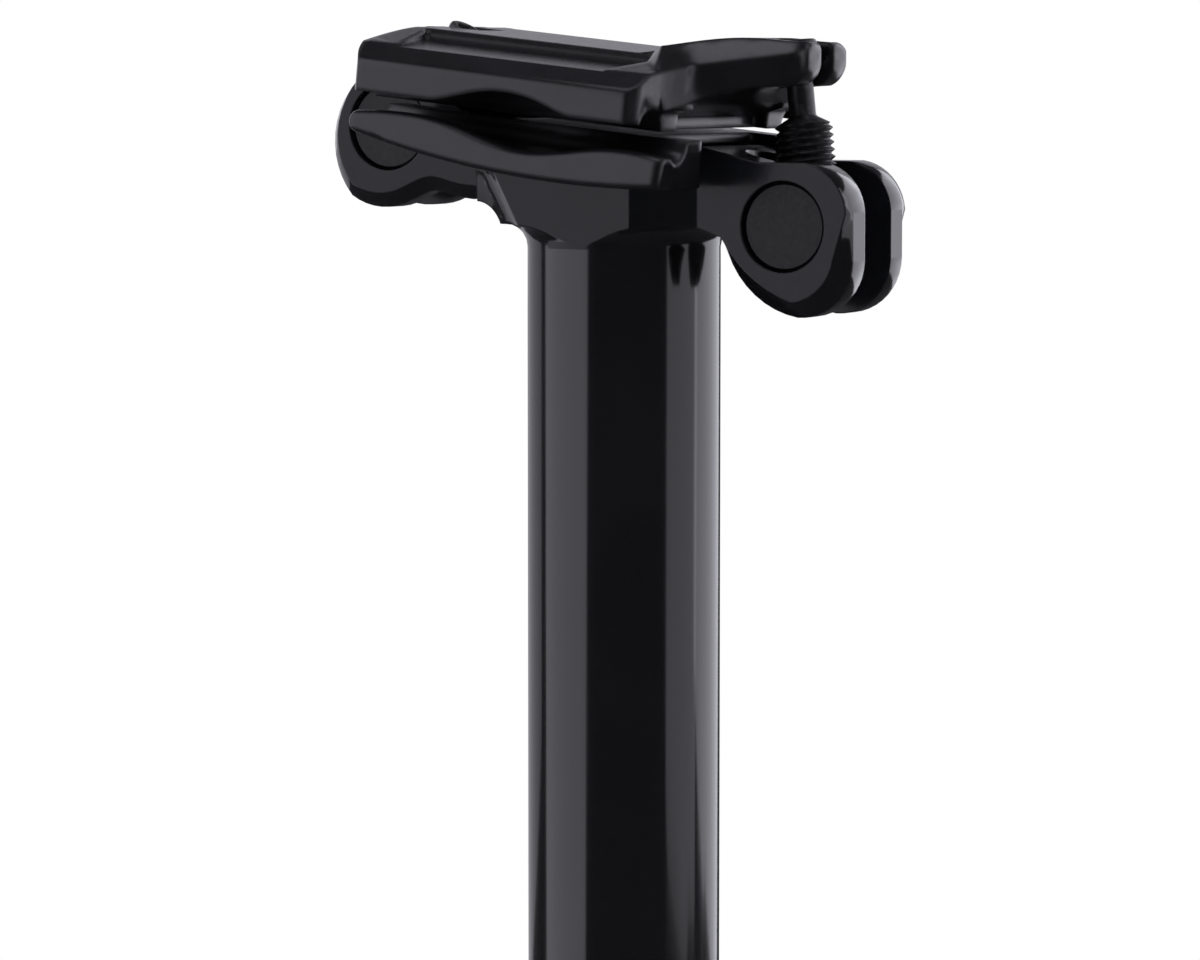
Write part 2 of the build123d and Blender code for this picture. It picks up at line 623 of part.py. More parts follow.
def make_washer(seat, name):
    """A half-round washer that lets the bolt lean in the fork."""
    with BuildPart() as washer:
        with BuildSketch(Plane(origin=seat.origin, x_dir=seat.x_dir, z_dir=(0, -1, 0))):
            Circle(WASHER_R)
            with Locations((0, WASHER_R)):
                Rectangle(4 * WASHER_R, 2 * WASHER_R, mode=Mode.SUBTRACT)
        extrude(amount=WASHER_HALF, both=True)
        with BuildSketch(seat):
            Circle(NECK_R + 0.06)
        extrude(amount=20, both=True, mode=Mode.SUBTRACT)
    save(washer.part, name)


make_nut(FRONT_NUT, FRONT_BOLT, "front_barrel_nut")
make_nut(REAR_NUT, REAR_BOLT, "rear_barrel_nut")
make_bolt(FRONT_BOLT, FRONT_TIP, "front_clamp_bolt")
make_bolt(REAR_BOLT, REAR_TIP, "rear_clamp_bolt")
make_washer(FRONT_BOLT, "front_half_moon_washer")
make_washer(REAR_BOLT, "rear_half_moon_washer")

# ---- outer tube ----
CLIP_GROOVE_R = 15.3
CLIP_Z = 1.6
with BuildPart() as outer_tube:
    with BuildSketch(Plane.XY):
        Circle(OUTER_R)
    extrude(amount=OUTER_TOP_Z)
    for radius, low_z, high_z in (
        (THREAD_BORE_R, 0, THREAD_BORE_TOP_Z),
        (CLIP_GROOVE_R, CLIP_Z - 0.65, CLIP_Z + 0.65),
        (OUTER_BORE_R, THREAD_BORE_TOP_Z, STOP_Z),
        (GUIDE_BORE_R, STOP_Z, BUSHING_POCKET_Z),
        (OUTER_BORE_R, BUSHING_POCKET_Z, OUTER_TOP_Z),
    ):
        with BuildSketch(Plane.XY.offset(low_z)):
            Circle(radius)
        extrude(amount=high_z - low_z, mode=Mode.SUBTRACT)
    with BuildSketch(Plane.XY.offset(COLLAR_LOW_Z)):
        Circle(OUTER_R + 1)
        Circle(OUTER_NECK_R, mode=Mode.SUBTRACT)
    extrude(amount=OUTER_TOP_Z - COLLAR_LOW_Z, mode=Mode.SUBTRACT)
    # keyways from the thread up to the stop shoulder
    with BuildSketch(Plane.XY.offset(THREAD_BORE_TOP_Z)):
        with PolarLocations(KEYWAY_R - 1.0, KEY_COUNT):
            Rectangle(2.0, KEY_WIDTH + 0.12)
    extrude(amount=STOP_Z - THREAD_BORE_TOP_Z, mode=Mode.SUBTRACT)
save(outer_tube.part, "outer_tube")

# ---- collar, seals and upper bushing ----
SEAL_POCKET_R = 16.3
with BuildPart() as seal_collar:
    with BuildSketch(Plane.XY.offset(COLLAR_LOW_Z)):
        Circle(COLLAR_R)
    extrude(amount=COLLAR_TOP_Z - COLLAR_LOW_Z)
    chamfer(seal_collar.edges().filter_by(GeomType.CIRCLE), 1.0)
    for radius, low_z, high_z in (
        (OUTER_NECK_R + 0.02, COLLAR_LOW_Z, OUTER_TOP_Z),
        (SEAL_POCKET_R, OUTER_TOP_Z, COLLAR_TOP_Z - 1.8),
        (TUBE_R + 0.9, COLLAR_TOP_Z - 1.8, COLLAR_TOP_Z),
    ):
        with BuildSketch(Plane.XY.offset(low_z)):
            Circle(radius)
        extrude(amount=high_z - low_z, mode=Mode.SUBTRACT)
    # notches for a pin spanner
    with BuildSketch(Plane.XY.offset(COLLAR_LOW_Z + 5)):
        with PolarLocations(COLLAR_R, 8):
            Rectangle(1.2, 3.4)
    extrude(amount=6.0, mode=Mode.SUBTRACT)
save(seal_collar.part, "seal_collar")

save(round_ring(15.1, 0.7, OUTER_TOP_Z + 0.7).part, "collar_o_ring")

with BuildPart() as wiper_seal:
    with BuildSketch(Plane.XZ):
        with BuildLine():
            Polyline(
                (TUBE_R + 0.05, 269.0), (TUBE_R + 0.5, 263.6), (16.25, 263.6), (16.25, 270.0),
                (15.0, 270.0), (14.3, 268.0), (14.1, 271.6), (TUBE_R + 0.05, 272.4),
                (TUBE_R + 0.05, 271.8), (TUBE_R + 0.3, 270.2), close=True,
            )
        make_face()
    revolve(axis=Axis.Z)
save(wiper_seal.part, "wiper_seal")

save(ring(TUBE_R + SLIDE_GAP, OUTER_BORE_R, BUSHING_POCKET_Z, OUTER_TOP_Z - 0.2).part, "upper_bushing")

# ---- foot of the sliding tube ----
FOOT_RING_TOP_Z = 98.2
KEY_LOW_Z = 89.7
KEY_HIGH_Z = 96.7
KEY_INNER_R = 13.3
KEY_OUTER_R = KEYWAY_R - 0.06

with BuildPart() as foot_ring:
    with BuildSketch(Plane.XY.offset(FOOT_Z)):
        Circle(OUTER_BORE_R - 0.35)
        Circle(SPIGOT_R, mode=Mode.SUBTRACT)
    extrude(amount=FOOT_RING_TOP_Z - FOOT_Z)
    with BuildSketch(Plane.XY.offset(KEY_LOW_Z)):
        with PolarLocations((KEY_INNER_R + 15) / 2, KEY_COUNT):
            Rectangle(15 - KEY_INNER_R, KEY_WIDTH)
    extrude(amount=KEY_HIGH_Z - KEY_LOW_Z, mode=Mode.SUBTRACT)
save(foot_ring.part, "foot_ring")

with BuildPart() as anti_rotation_keys:
    with BuildSketch(Plane.XY.offset(KEY_LOW_Z)):
        with PolarLocations((KEY_INNER_R + KEY_OUTER_R) / 2, KEY_COUNT):
            Rectangle(KEY_OUTER_R - KEY_INNER_R, KEY_WIDTH)
    extrude(amount=KEY_HIGH_Z - KEY_LOW_Z)
save(anti_rotation_keys.part, "anti_rotation_keys")

save(ring(SPIGOT_R, OUTER_BORE_R - SLIDE_GAP, FOOT_RING_TOP_Z, SPIGOT_TOP_Z - 0.2).part, "lower_bushing")
save(ring(TUBE_R, OUTER_BORE_R - 0.3, SPIGOT_TOP_Z, STOP_Z - 0.2).part, "top_out_ring")

# ---- spring, seats and rubber core ----
SPRING_R = 9.1
SPRING_WIRE_R = 1.8
SPRING_LOW_Z = 24.0
SPRING_TURNS = 21
BOSS_R = 6.9
CORE_R = 6.2
CORE_TOP_Z = 176.0
SEAT_LOW_Z = 20.3

with BuildPart() as spring_top_seat:
    with BuildSketch(Plane.XY.offset(BORE_STEP_Z - 6)):
        Circle(LOWER_BORE_R - 0.1)
    extrude(amount=6)
    with BuildSketch(Plane.XY.offset(BORE_STEP_Z - 12)):
        Circle(BOSS_R)
    extrude(amount=6)
save(spring_top_seat.part, "spring_top_seat")

SPRING_TOP_Z = BORE_STEP_Z - 6
spring_rise = SPRING_TOP_Z - SPRING_LOW_Z - 2 * SPRING_WIRE_R
with BuildPart() as main_spring:
    with BuildLine() as coil:
        Helix(
            pitch=spring_rise / SPRING_TURNS,
            height=spring_rise,
            radius=SPRING_R,
            center=(0, 0, SPRING_LOW_Z + SPRING_WIRE_R),
        )
    with BuildSketch(Plane(origin=coil.line @ 0, z_dir=coil.line % 0)):
        Circle(SPRING_WIRE_R)
    sweep(is_frenet=True)
save(main_spring.part, "main_spring")

with BuildPart() as spring_bottom_seat:
    with BuildSketch(Plane.XY.offset(SEAT_LOW_Z)):
        Circle(OUTER_BORE_R - 0.5)
    extrude(amount=SPRING_LOW_Z - SEAT_LOW_Z)
    with BuildSketch(Plane.XY.offset(SPRING_LOW_Z)):
        Circle(BOSS_R)
    extrude(amount=8)
save(spring_bottom_seat.part, "spring_bottom_seat")

with BuildPart() as elastomer_core:
    with BuildSketch(Plane.XY.offset(SPRING_LOW_Z + 8)):
        Circle(CORE_R)
    extrude(amount=CORE_TOP_Z - SPRING_LOW_Z - 8)
save(elastomer_core.part, "elastomer_core")

# ---- preload plug, its seal and its clip ----
PLUG_LOW_Z = 3.0
PLUG_R = THREAD_BORE_R - 0.05
O_RING_Z = 17.6
with BuildPart() as preload_plug:
    with BuildSketch(Plane.XY.offset(PLUG_LOW_Z)):
        Circle(PLUG_R)
    extrude(amount=SEAT_LOW_Z - PLUG_LOW_Z)
    chamfer(preload_plug.edges().filter_by(GeomType.CIRCLE), 0.5)
    with BuildSketch(Plane.XY.offset(PLUG_LOW_Z)):
        RegularPolygon(radius=4.0, side_count=6, major_radius=False)
    extrude(amount=9, mode=Mode.SUBTRACT)
    with BuildSketch(Plane.XY.offset(O_RING_Z - 1.0)):
        Circle(PLUG_R + 1)
        Circle(PLUG_R - 1.6, mode=Mode.SUBTRACT)
    extrude(amount=2.0, mode=Mode.SUBTRACT)
save(preload_plug.part, "preload_plug")

save(round_ring(PLUG_R - 0.8, 0.8, O_RING_Z).part, "plug_o_ring")

with BuildPart() as retaining_ring:
    with BuildSketch(Plane.XY.offset(CLIP_Z - 0.6)):
        Circle(CLIP_GROOVE_R - 0.05)
        Circle(CLIP_GROOVE_R - 1.5, mode=Mode.SUBTRACT)
        with Locations((0, CLIP_GROOVE_R)):
            Rectangle(7, 6, mode=Mode.SUBTRACT)
    extrude(amount=1.2)
save(retaining_ring.part, "retaining_ring")
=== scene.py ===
"""A telescoping suspension seatpost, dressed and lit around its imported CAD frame. Metres, +Z up along the post."""
import json
import math

import bpy
from mathutils import Matrix, Vector


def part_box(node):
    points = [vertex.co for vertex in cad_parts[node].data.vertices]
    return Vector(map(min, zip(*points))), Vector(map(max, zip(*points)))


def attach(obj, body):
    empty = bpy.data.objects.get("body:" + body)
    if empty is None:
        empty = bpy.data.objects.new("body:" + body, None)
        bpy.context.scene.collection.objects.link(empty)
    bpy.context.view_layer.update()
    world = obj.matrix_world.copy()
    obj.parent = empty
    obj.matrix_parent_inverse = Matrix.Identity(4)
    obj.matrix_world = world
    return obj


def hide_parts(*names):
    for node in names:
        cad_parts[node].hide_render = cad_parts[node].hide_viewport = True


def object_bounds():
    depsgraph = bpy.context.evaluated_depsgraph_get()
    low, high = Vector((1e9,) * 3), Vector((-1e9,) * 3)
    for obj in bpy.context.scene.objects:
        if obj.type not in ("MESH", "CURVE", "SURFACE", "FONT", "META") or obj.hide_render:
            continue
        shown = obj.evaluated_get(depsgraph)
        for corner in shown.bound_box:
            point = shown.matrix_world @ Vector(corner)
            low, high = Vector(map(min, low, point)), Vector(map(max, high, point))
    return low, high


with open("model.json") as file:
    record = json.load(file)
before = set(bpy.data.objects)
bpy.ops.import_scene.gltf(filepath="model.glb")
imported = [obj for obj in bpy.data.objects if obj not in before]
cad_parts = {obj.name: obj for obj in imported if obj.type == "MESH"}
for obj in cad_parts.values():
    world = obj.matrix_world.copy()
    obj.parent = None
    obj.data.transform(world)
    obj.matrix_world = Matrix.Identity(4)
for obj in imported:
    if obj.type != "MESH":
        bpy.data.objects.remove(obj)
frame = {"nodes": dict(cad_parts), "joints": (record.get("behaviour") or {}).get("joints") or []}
cad_low, cad_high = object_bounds()
nodes = frame["nodes"]

MM = 0.001
WAVE_REPEAT = math.pi / 10    # a wave texture of scale 1 repeats at this distance


# ---- node helpers -------------------------------------------------------------------------------------------------
class Surface:
    """One procedural material, built up from the principled shader outwards."""

    def __init__(self, name, metallic=0.0, specular=0.5, coat=0.0, coat_roughness=0.1):
        self.material = bpy.data.materials.new(name)
        self.material.use_nodes = True
        self.tree = self.material.node_tree
        self.shader = self.tree.nodes["Principled BSDF"]
        self.shader.inputs["Metallic"].default_value = metallic
        self.shader.inputs["Specular IOR Level"].default_value = specular
        self.shader.inputs["Coat Weight"].default_value = coat
        self.shader.inputs["Coat Roughness"].default_value = coat_roughness
        self.place = self.tree.nodes.new("ShaderNodeTexCoord").outputs["Object"]
        self.height = None

    def link(self, source, target):
        self.tree.links.new(source, target)

    def stretched(self, scale):
        """The object's coordinates, scaled unevenly so that a noise runs in streaks."""
        mapping = self.tree.nodes.new("ShaderNodeMapping")
        mapping.inputs["Scale"].default_value = scale
        self.link(self.place, mapping.inputs["Vector"])
        return mapping.outputs["Vector"]

    def noise(self, grain, detail=3.0, streaks=None):
        """A noise whose grains are that many metres across."""
        made = self.tree.nodes.new("ShaderNodeTexNoise")
        made.inputs["Scale"].default_value = 1.0 / grain
        made.inputs["Detail"].default_value = detail
        self.link(self.place if streaks is None else self.stretched(streaks), made.inputs["Vector"])
        return made.outputs["Fac"]

    def rings(self, centre, gap):
        """Rings round an axis along Y through that centre."""
        mapping = self.tree.nodes.new("ShaderNodeMapping")
        mapping.inputs["Location"].default_value = -centre
        self.link(self.place, mapping.inputs["Vector"])
        wave = self.tree.nodes.new("ShaderNodeTexWave")
        wave.wave_type = "RINGS"
        wave.rings_direction = "Y"
        wave.inputs["Scale"].default_value = WAVE_REPEAT / gap
        wave.inputs["Distortion"].default_value = 0.6
        self.link(mapping.outputs["Vector"], wave.inputs["Vector"])
        return wave.outputs["Fac"]

    def spread(self, value, low, high, start=0.3, end=0.7):
        """A value remapped so that start becomes low and end becomes high."""
        made = self.tree.nodes.new("ShaderNodeMapRange")
        made.inputs["From Min"].default_value = start
        made.inputs["From Max"].default_value = end
        made.inputs["To Min"].default_value = low
        made.inputs["To Max"].default_value = high
        self.link(value, made.inputs["Value"])
        return made.outputs["Result"]

    def colours(self, value, dark, light, start=0.3, end=0.7):
        """A ramp between two colours, into the base colour."""
        ramp = self.tree.nodes.new("ShaderNodeValToRGB")
        ramp.color_ramp.elements[0].position = start
        ramp.color_ramp.elements[0].color = (*dark, 1)
        ramp.color_ramp.elements[1].position = end
        ramp.color_ramp.elements[1].color = (*light, 1)
        self.link(value, ramp.inputs["Fac"])
        self.link(ramp.outputs["Color"], self.shader.inputs["Base Color"])

    def roughness(self, value, low, high):
        self.link(self.spread(value, low, high), self.shader.inputs["Roughness"])

    def rounded_edges(self, radius):
        """Shades the sharp edges as if they were rounded to that radius."""
        made = self.tree.nodes.new("ShaderNodeBevel")
        made.samples = 6
        made.inputs["Radius"].default_value = radius
        self.height = made.outputs["Normal"]

    def bump(self, value, depth):
        """Adds a relief of that depth in metres to the normal."""
        made = self.tree.nodes.new("ShaderNodeBump")
        made.inputs["Strength"].default_value = 1.0
        made.inputs["Distance"].default_value = depth
        self.link(value, made.inputs["Height"])
        if self.height is not None:
            self.link(self.height, made.inputs["Normal"])
        self.height = made.outputs["Normal"]
        self.link(self.height, self.shader.inputs["Normal"])


# ---- materials ----------------------------------------------------------------------------------------------------
def gloss_anodised():
    """Polished and black-anodised aluminium: deep black, with faint draw lines along the tube."""
    s = Surface("gloss_anodised", specular=0.62, coat=0.25, coat_roughness=0.05)
    cloud = s.noise(14 * MM)
    s.colours(cloud, (0.0035, 0.0035, 0.004), (0.0055, 0.0055, 0.006))
    lines = s.noise(0.5 * MM, detail=2.0, streaks=(1, 1, 0.02))
    s.roughness(lines, 0.10, 0.15)
    s.rounded_edges(0.35 * MM)
    s.bump(s.noise(2.5 * MM, detail=1.0), 0.001 * MM)
    return s.material


def head_anodised():
    """The milled head of the post, anodised with the tube but less polished."""
    s = Surface("head_anodised", specular=0.36)
    s.colours(s.noise(10 * MM), (0.0045, 0.0048, 0.006), (0.0065, 0.007, 0.0085))
    s.roughness(s.noise(1.4 * MM), 0.16, 0.22)
    s.rounded_edges(0.35 * MM)
    s.bump(s.noise(0.4 * MM, detail=2.0), 0.001 * MM)
    return s.material


def satin_anodised():
    """Tumbled and black-anodised aluminium, with a softer shine."""
    s = Surface("satin_anodised", specular=0.6)
    cloud = s.noise(9 * MM)
    s.colours(cloud, (0.0045, 0.0045, 0.005), (0.0075, 0.0075, 0.0085))
    s.roughness(s.noise(1.2 * MM), 0.17, 0.24)
    s.rounded_edges(1.2 * MM)
    s.bump(s.noise(0.35 * MM, detail=2.0), 0.0012 * MM)
    return s.material


def matte_anodised():
    """Blasted and black-anodised aluminium, as on the outer tube and its collar."""
    s = Surface("matte_anodised", specular=0.5)
    cloud = s.noise(11 * MM)
    s.colours(cloud, (0.008, 0.008, 0.009), (0.013, 0.013, 0.014))
    s.roughness(s.noise(0.8 * MM), 0.34, 0.44)
    s.bump(s.noise(0.12 * MM, detail=1.0), 0.004 * MM)
    return s.material


def blackened_steel():
    """Oil-blackened steel of the bolts, with small grey scuffs."""
    s = Surface("blackened_steel", metallic=0.3, specular=0.8)
    wear = s.noise(0.9 * MM, detail=6.0)
    s.colours(wear, (0.016, 0.016, 0.017), (0.05, 0.049, 0.048), 0.5, 0.75)
    s.roughness(s.noise(0.6 * MM), 0.28, 0.42)
    s.bump(s.noise(0.25 * MM, detail=3.0), 0.004 * MM)
    return s.material


def turned_black_steel(node):
    """Blackened steel of a cross nut, with the rings that turning left on its round ends."""
    s = Surface("turned_black_" + node.name, specular=0.3)
    low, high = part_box(node.name)
    s.colours(s.noise(0.8 * MM, detail=6.0), (0.006, 0.0062, 0.007), (0.011, 0.0112, 0.012), 0.35, 0.7)
    s.roughness(s.noise(0.5 * MM), 0.26, 0.36)
    s.bump(s.rings((low + high) / 2, 0.35 * MM), 0.0012 * MM)
    s.bump(s.noise(0.3 * MM, detail=4.0), 0.002 * MM)
    return s.material


def bright_steel():
    """Plain steel of the half-moon washers and the clip."""
    s = Surface("bright_steel", metallic=1.0)
    s.colours(s.noise(2 * MM), (0.30, 0.30, 0.31), (0.42, 0.42, 0.43))
    s.roughness(s.noise(0.4 * MM, streaks=(1, 1, 0.1)), 0.24, 0.38)
    s.bump(s.noise(0.2 * MM), 0.002 * MM)
    return s.material


def spring_steel():
    """Oil-tempered spring wire."""
    s = Surface("spring_steel", metallic=1.0)
    s.colours(s.noise(6 * MM), (0.10, 0.10, 0.105), (0.17, 0.165, 0.16))
    s.roughness(s.noise(0.7 * MM), 0.26, 0.42)
    s.bump(s.noise(0.3 * MM), 0.003 * MM)
    return s.material


def turned_aluminium():
    """Bare turned aluminium, with fine rings round the post's axis."""
    s = Surface("turned_aluminium", metallic=1.0)
    s.colours(s.noise(4 * MM), (0.62, 0.62, 0.63), (0.74, 0.74, 0.75))
    rings = s.noise(0.5 * MM, streaks=(0.02, 0.02, 1))
    s.roughness(rings, 0.22, 0.36)
    s.bump(rings, 0.003 * MM)
    return s.material


def brass():
    """Drawn brass of the anti-rotation keys."""
    s = Surface("brass", metallic=1.0)
    s.colours(s.noise(2 * MM), (0.62, 0.42, 0.16), (0.72, 0.52, 0.22))
    s.roughness(s.noise(0.4 * MM, streaks=(1, 1, 0.05)), 0.22, 0.35)
    s.bump(s.noise(0.3 * MM), 0.002 * MM)
    return s.material


def rubber():
    """Matt black rubber of the seals."""
    s = Surface("rubber", specular=0.35)
    s.colours(s.noise(3 * MM), (0.010, 0.010, 0.010), (0.018, 0.018, 0.017))
    s.roughness(s.noise(0.5 * MM), 0.58, 0.75)
    s.bump(s.noise(0.15 * MM), 0.006 * MM)
    return s.material


def core_rubber():
    """Cast polyurethane of the spring's core, a dull warm grey."""
    s = Surface("core_rubber", specular=0.4)
    s.colours(s.noise(5 * MM), (0.085, 0.075, 0.065), (0.13, 0.12, 0.10))
    s.roughness(s.noise(0.9 * MM), 0.5, 0.65)
    s.bump(s.noise(0.4 * MM), 0.01 * MM)
    return s.material


def bushing_plastic():
    """Pale filled plastic of the sliding bushings."""
    s = Surface("bushing_plastic", specular=0.45)
    s.colours(s.noise(0.6 * MM, detail=5.0), (0.55, 0.52, 0.44), (0.68, 0.65, 0.57))
    s.roughness(s.noise(0.6 * MM), 0.42, 0.55)
    s.bump(s.noise(0.2 * MM), 0.004 * MM)
    return s.material


def seat_plastic():
    """Black glass-filled plastic of the spring seats."""
    s = Surface("seat_plastic", specular=0.45)
    s.colours(s.noise(0.5 * MM, detail=5.0), (0.018, 0.018, 0.019), (0.035, 0.035, 0.036))
    s.roughness(s.noise(0.5 * MM), 0.45, 0.6)
    s.bump(s.noise(0.25 * MM), 0.008 * MM)
    return s.material


FINISHES = {
    gloss_anodised: ["upper_post"],
    satin_anodised: ["lower_cradle", "upper_clamp"],
    matte_anodised: ["outer_tube", "seal_collar", "preload_plug"],
    blackened_steel: ["front_clamp_bolt", "rear_clamp_bolt"],
    bright_steel: ["front_half_moon_washer", "rear_half_moon_washer", "retaining_ring"],
    spring_steel: ["main_spring"],
    turned_aluminium: ["foot_ring"],
    brass: ["anti_rotation_keys"],
    rubber: ["collar_o_ring", "wiper_seal", "plug_o_ring", "top_out_ring"],
    core_rubber: ["elastomer_core"],
    bushing_plastic: ["upper_bushing", "lower_bushing"],
    seat_plastic: ["spring_top_seat", "spring_bottom_seat"],
}
for finish, names in FINISHES.items():
    material = finish()
    for name in names:
        nodes[name].data.materials.clear()
        nodes[name].data.materials.append(material)
for name in ("front_barrel_nut", "rear_barrel_nut"):
    nodes[name].data.materials.clear()
    nodes[name].data.materials.append(turned_black_steel(nodes[name]))


TUBE_EDGE_X = 14.2 * MM       # past this, sideways, only the head's ears
EARS_LOW_Z = 350 * MM
FLATS_LOW_Z = 382 * MM        # above this, every face that looks sideways belongs to the head
FLAT_NORMAL_Y = 0.9


def finish_head(post):
    """Gives the head's faces that look sideways the head's finish. The rest keeps the tube's polish."""
    post.data.materials.append(head_anodised())
    for face in post.data.polygons:
        on_ear = abs(face.center.x) > TUBE_EDGE_X and face.center.z > EARS_LOW_Z
        if abs(face.normal.y) > FLAT_NORMAL_Y and (on_ear or face.center.z > FLATS_LOW_Z):
            face.material_index = 1


finish_head(nodes["upper_post"])


# ---- softened edges -----------------------------------------------------------------------------------------------
WELD_GAP = 0.0005 * MM
SHARP_ANGLE = 32.0            # degrees between two faces, from which their edge is rounded


def soften(node, width):
    """Rounds the node's sharp edges where there is room, in a modifier on top of its mesh."""
    weld = node.modifiers.new("weld", "WELD")
    weld.merge_threshold = WELD_GAP
    bevel = node.modifiers.new("bevel", "BEVEL")
    bevel.limit_method = "ANGLE"
    bevel.angle_limit = math.radians(SHARP_ANGLE)
    bevel.width = width
    bevel.segments = 3
    bevel.use_clamp_overlap = True
    bevel.harden_normals = True


for name in ("upper_clamp", "lower_cradle"):
    soften(nodes[name], 0.45 * MM)
soften(nodes["upper_post"], 0.3 * MM)


# ---- bolts with cut threads ---------------------------------------------------------------------------------------
BOLT_R = 4.0 * MM
PITCH = 1.0 * MM
THREAD_DEPTH = 0.55 * MM
NECK_R = 1.85 * MM
HEAD_R = 2.85 * MM
HEAD_H = 2.4 * MM
HEX_HALF = 1.75 * MM
HEX_DEPTH = 2.0 * MM
HEX_CHAMFER = 0.12 * MM
THREAD_TOP = -9.2 * MM        # along the bolt, from the head's seat
CONE_TOP = -8.1 * MM
FRONT_TIP = -27.0 * MM
REAR_TIP = -20.4 * MM
TIP_R = BOLT_R - THREAD_DEPTH - 0.1 * MM
FLANK_GAIN = 1.3              # above 1, the thread's crests and roots are flat
ROOT_SHARE = 0.15
AROUND = 72
STEPS_PER_PITCH = 8
SMOOTH_ANGLE = 40             # degrees, from which an edge of the bolt is shaded sharp


def thread_radius(along, angle):
    """The radius of a right-hand thread, with narrow flats on its crests and roots."""
    phase = (along / PITCH - angle / (2 * math.pi)) % 1.0
    rise = min(1.0, max(0.0, abs(2 * phase - 1) * FLANK_GAIN - ROOT_SHARE))
    return BOLT_R - THREAD_DEPTH * (1 - rise)


def hex_radius(angle):
    """The radius of the hex socket's wall at that angle."""
    return HEX_HALF / math.cos(angle % (math.pi / 3) - math.pi / 6)


def bolt_rings(tip):
    """The bolt's surface as rings from its tip to its socket: how far along, and the radius at an angle."""
    rings = [(tip, lambda a: TIP_R)]
    steps = round((THREAD_TOP - tip) / PITCH * STEPS_PER_PITCH)
    for step in range(1, steps + 1):
        along = tip + step * (THREAD_TOP - tip) / steps
        start = TIP_R + (along - tip)
        rings.append((along, lambda a, s=along, r=start: min(r, thread_radius(s, a))))
    plain = [
        (CONE_TOP - 0.1 * MM, NECK_R + 0.15 * MM), (CONE_TOP + 0.15 * MM, NECK_R), (-0.3 * MM, NECK_R),
        (0, NECK_R + 0.2 * MM), (0, HEAD_R - 0.2 * MM), (0.2 * MM, HEAD_R), (HEAD_H - 0.45 * MM, HEAD_R),
        (HEAD_H - 0.15 * MM, HEAD_R - 0.12 * MM), (HEAD_H, HEAD_R - 0.4 * MM),
    ]
    rings += [(along, lambda a, r=radius: r) for along, radius in plain]
    rings.append((HEAD_H, lambda a: hex_radius(a) + HEX_CHAMFER))
    rings.append((HEAD_H - 0.15 * MM, hex_radius))
    rings.append((HEAD_H - HEX_DEPTH, hex_radius))
    return rings


def threaded_bolt(name, node, joint_name, tip, body):
    """A bolt with a real helix, in place of the CAD bolt's ring grooves."""
    joint = next(j for j in frame["joints"] if j["name"] == joint_name)
    seat = Vector(joint["pos_m"])
    axis = Vector(joint["axis"]).normalized()
    side = Vector((0, 1, 0)).cross(axis).normalized()
    turn = Matrix((side, axis.cross(side), axis)).transposed()
    rings = bolt_rings(tip)
    points = []
    for along, radius in rings:
        for i in range(AROUND):
            angle = 2 * math.pi * i / AROUND
            r = radius(angle)
            points.append(seat + turn @ Vector((r * math.cos(angle), r * math.sin(angle), along)))
    faces = []
    for ring in range(len(rings) - 1):
        for i in range(AROUND):
            here = ring * AROUND + i
            beside = ring * AROUND + (i + 1) % AROUND
            faces.append((here, beside, beside + AROUND, here + AROUND))
    faces.append(tuple(reversed(range(AROUND))))
    faces.append(tuple(range(len(points) - AROUND, len(points))))
    mesh = bpy.data.meshes.new(name)
    mesh.from_pydata(points, [], faces)
    mesh.shade_smooth()
    mesh.set_sharp_from_angle(angle=math.radians(SMOOTH_ANGLE))
    mesh.materials.append(nodes[node].data.materials[0])
    bolt = bpy.data.objects.new(name, mesh)
    bpy.context.scene.collection.objects.link(bolt)
    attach(bolt, body)
    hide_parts(node)


threaded_bolt("front_bolt_cut", "front_clamp_bolt", "front_bolt_turn", FRONT_TIP, "front_bolt")
threaded_bolt("rear_bolt_cut", "rear_clamp_bolt", "rear_bolt_turn", REAR_TIP, "rear_bolt")


# ---- floor, light and camera --------------------------------------------------------------------------------------
CAMERA_PLACE = Vector((0.300754, -0.572890, 0.408630))
CAMERA_AZIMUTH = 28.0     # degrees round the post, from looking along +Y
CAMERA_PITCH = 5.26       # degrees downwards
CAMERA_LENS = 138         # millimetres, on a sensor 36 mm wide
SENSOR_WIDTH = 36
CLIP_START = 0.05
LIGHTS_AIM_Z = 0.39       # the head of the post
LIGHT_TINT = (0.97, 0.965, 1.06)
ROOM_DIM = (0.05, 0.05, 0.055, 1)
FLOOR_R = 1.3
FLOOR_SIDES = 96


def looking(azimuth, pitch):
    """The turn of a camera or light that looks from that side, downwards by pitch."""
    back = Vector((
        math.sin(math.radians(azimuth)) * math.cos(math.radians(pitch)),
        -math.cos(math.radians(azimuth)) * math.cos(math.radians(pitch)),
        math.sin(math.radians(pitch)),
    ))
    right = Vector((math.cos(math.radians(azimuth)), math.sin(math.radians(azimuth)), 0))
    return Matrix((right, back.cross(right), back)).transposed(), back


def make_camera():
    camera = bpy.data.objects.new("camera", bpy.data.cameras.new("camera"))
    bpy.context.scene.collection.objects.link(camera)
    turn, _ = looking(CAMERA_AZIMUTH, CAMERA_PITCH)
    camera.matrix_world = Matrix.Translation(CAMERA_PLACE) @ turn.to_4x4()
    camera.data.sensor_width = SENSOR_WIDTH
    camera.data.lens = CAMERA_LENS
    camera.data.clip_start = CLIP_START
    bpy.context.scene.camera = camera


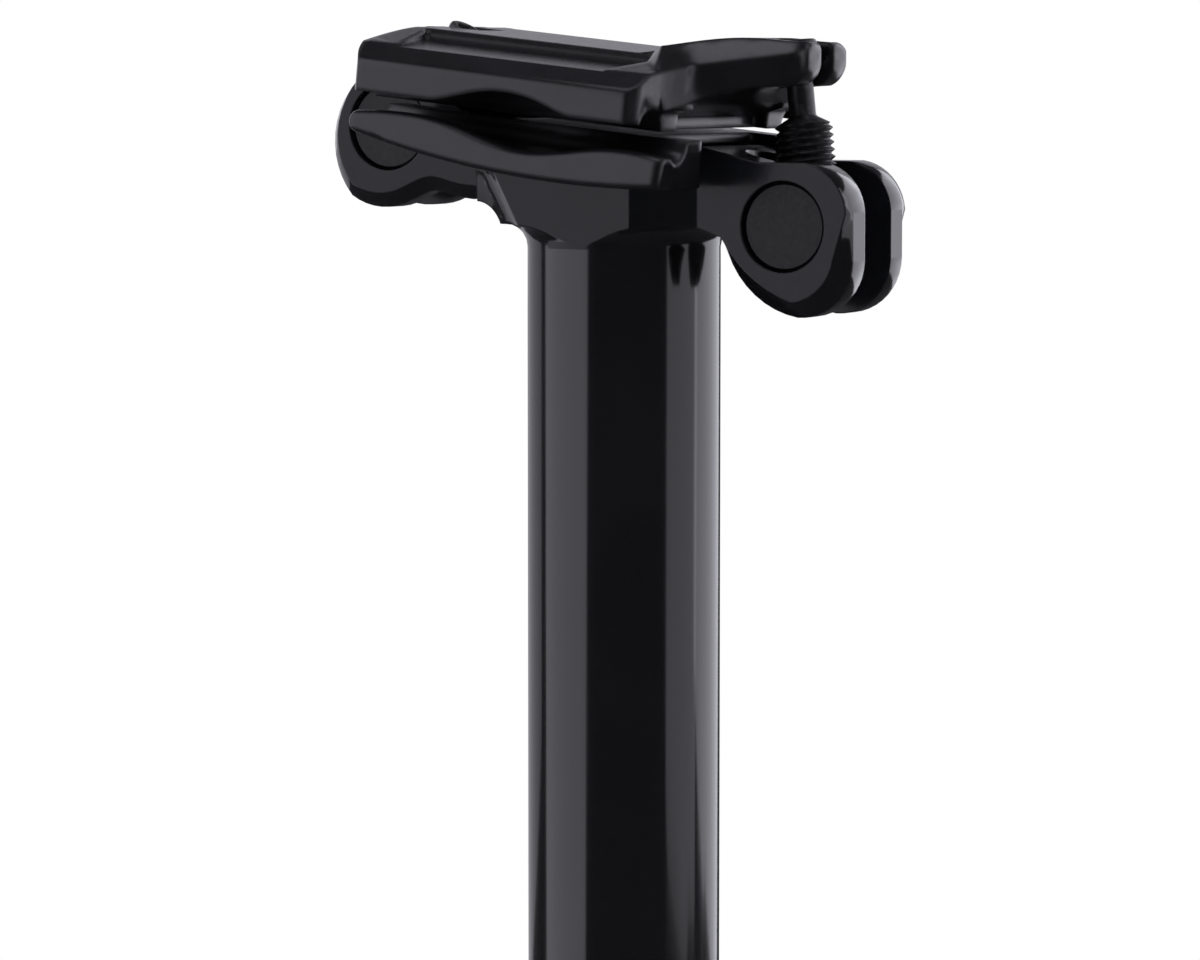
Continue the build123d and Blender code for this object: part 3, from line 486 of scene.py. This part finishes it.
def softbox(name, azimuth, elevation, distance, width, height, radiance, reflected=True):
    """A soft rectangle of light that faces the head. Its azimuth is measured from the camera's, to the right.
    One that is not reflected lights the scene but leaves no shape in a shiny surface."""
    light = bpy.data.lights.new(name, "AREA")
    light.shape = "RECTANGLE"
    light.size = width
    light.size_y = height
    light.energy = radiance * math.pi * width * height
    light.color = LIGHT_TINT
    made = bpy.data.objects.new(name, light)
    bpy.context.scene.collection.objects.link(made)
    turn, back = looking(CAMERA_AZIMUTH + azimuth, elevation)
    made.matrix_world = Matrix.Translation(Vector((0, 0, LIGHTS_AIM_Z)) + back * distance) @ turn.to_4x4()
    made.visible_camera = False
    made.visible_glossy = reflected


def make_floor():
    """A round pale floor. It stays below the edge of the camera's picture and out of the reflections."""
    turns = [2 * math.pi * i / FLOOR_SIDES for i in range(FLOOR_SIDES)]
    mesh = bpy.data.meshes.new("floor")
    rim = [(FLOOR_R * math.cos(t), FLOOR_R * math.sin(t), cad_low.z) for t in turns]
    mesh.from_pydata(rim, [], [range(FLOOR_SIDES)])
    floor = bpy.data.objects.new("floor", mesh)
    bpy.context.scene.collection.objects.link(floor)
    s = Surface("floor", specular=0.1)
    s.colours(s.noise(400 * MM), (0.88, 0.88, 0.88), (0.90, 0.90, 0.90))
    s.roughness(s.noise(100 * MM), 0.85, 0.95)
    floor.data.materials.append(s.material)
    floor.visible_glossy = False


def make_world():
    """A room that is white to the camera and dim to all else, so that only the softboxes shine on the black."""
    world = bpy.data.worlds.new("world")
    bpy.context.scene.world = world
    world.use_nodes = True
    tree = world.node_tree
    dim = tree.nodes["Background"]
    dim.inputs["Color"].default_value = ROOM_DIM
    white = tree.nodes.new("ShaderNodeBackground")
    white.inputs["Color"].default_value = (1, 1, 1, 1)
    seen = tree.nodes.new("ShaderNodeLightPath").outputs["Is Camera Ray"]
    mix = tree.nodes.new("ShaderNodeMixShader")
    tree.links.new(seen, mix.inputs["Fac"])
    tree.links.new(dim.outputs["Background"], mix.inputs[1])
    tree.links.new(white.outputs["Background"], mix.inputs[2])
    tree.links.new(mix.outputs["Shader"], tree.nodes["World Output"].inputs["Surface"])


make_camera()
make_floor()
make_world()
# name, azimuth and elevation in degrees, then distance, width and height in metres, then radiance
softbox("left_softbox", -77, 10, 1.6, 2.1, 2.7, 1.0)
softbox("left_card", -145, 5, 1.6, 1.7, 1.4, 0.4)
softbox("back_card", 178, 12, 1.6, 2.0, 0.9, 0.37)
softbox("right_card", 125, 5, 1.6, 2.0, 1.5, 1.3)
softbox("right_fill", 75, 8, 1.6, 1.4, 2.0, 0.75)
softbox("ceiling", 0, 90, 2.2, 1.2, 1.2, 1.2)
softbox("overhead", 0, 90, 2.2, 3.5, 3.5, 2.4, reflected=False)
bpy.context.scene.view_settings.view_transform = "Standard"
